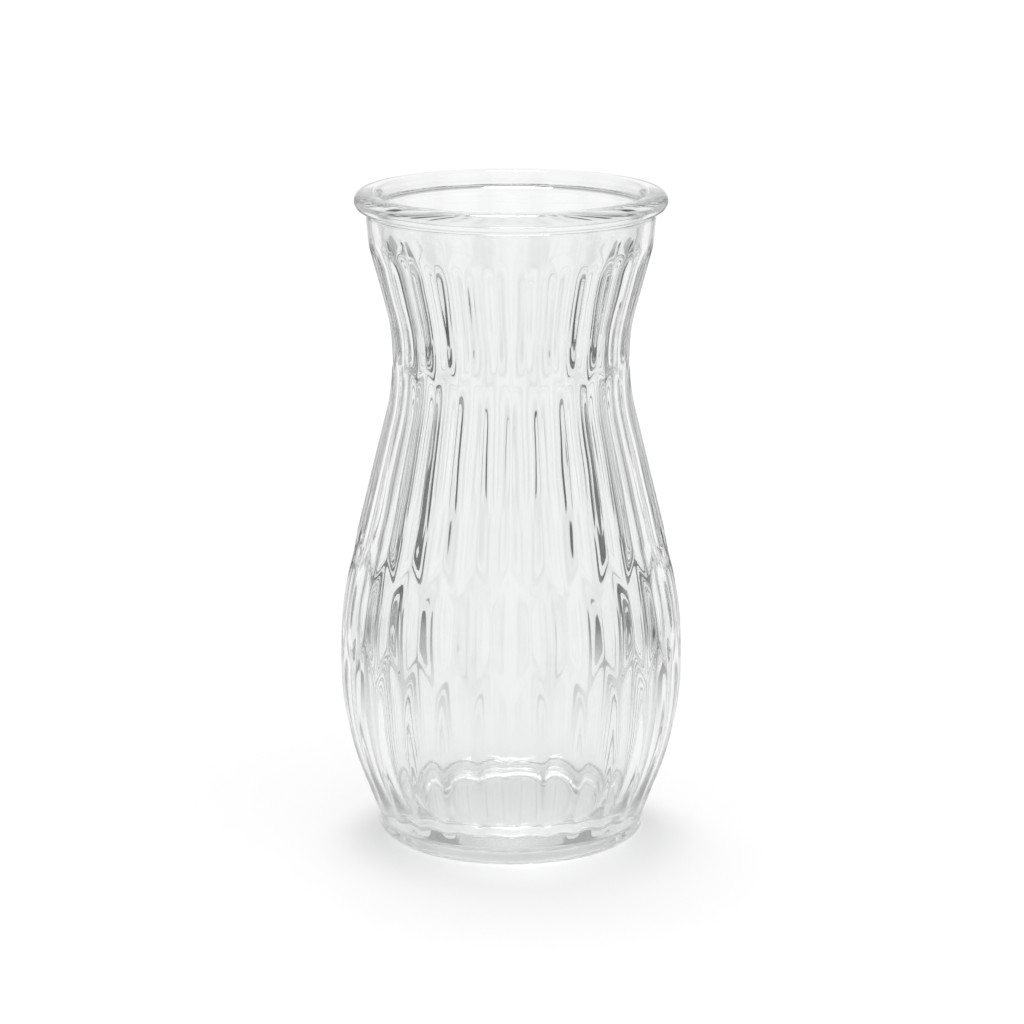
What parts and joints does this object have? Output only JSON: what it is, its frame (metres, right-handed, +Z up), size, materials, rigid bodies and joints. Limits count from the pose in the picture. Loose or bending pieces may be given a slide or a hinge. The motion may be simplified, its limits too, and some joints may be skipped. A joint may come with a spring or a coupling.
{
  "type": "fluted glass flower vase",
  "caption": "Clear glass flower vase with a narrow waist, a full belly, staggered tiers of vertical flutes, a plain collar and a rolled rim; it stands on a flat ring.",
  "frame": {"origin": "on the vertical axis, in the plane of the flat ring that the vase stands on", "axes": "+Z up along the vase's axis; +X passes through the middle of a neck flute, and so does -Y, which faces the picture's camera"},
  "size_m": [0.1066, 0.1066, 0.203],
  "materials": {
    "clear_glass": "clear fire-polished soda-lime glass, smooth inside and fluted outside"
  },
  "bodies": {
    "root": {"vase_body": "clear_glass"}
  },
  "joints": []
}
